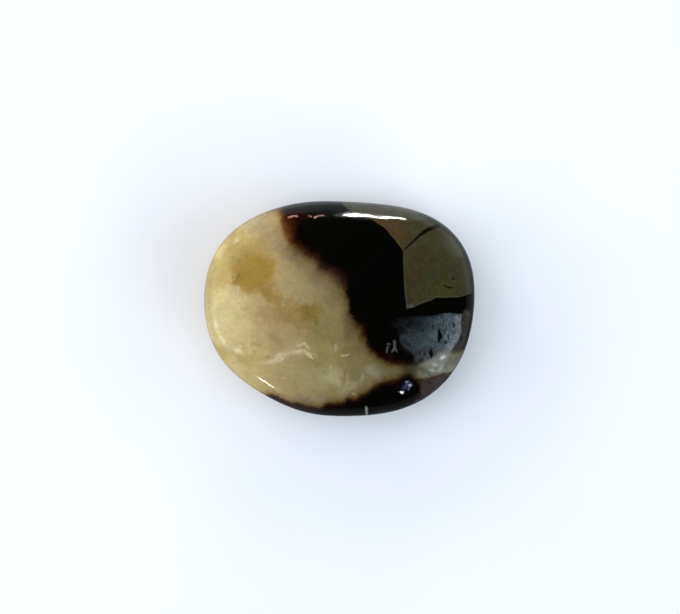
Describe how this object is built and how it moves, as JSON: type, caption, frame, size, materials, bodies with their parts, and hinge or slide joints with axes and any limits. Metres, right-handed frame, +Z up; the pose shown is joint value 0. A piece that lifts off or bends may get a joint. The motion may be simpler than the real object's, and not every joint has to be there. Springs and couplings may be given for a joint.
{
  "type": "septarian pocket stone",
  "caption": "Flat oval tumbled and polished septarian pebble: pale calcite, black-brown aragonite and grey-brown limestone in one piece, resting on a small flat.",
  "frame": {"origin": "middle of the stone's plan box, on the plane it rests on", "axes": "+X along the stone's long axis, +Y to the back of the plan, +Z up out of the polished face"},
  "size_m": [0.038, 0.0302, 0.013],
  "materials": {
    "polished_septarian": "tumble-polished, glossy"
  },
  "bodies": {
    "root": {"septarian_stone": "polished_septarian"}
  },
  "joints": []
}
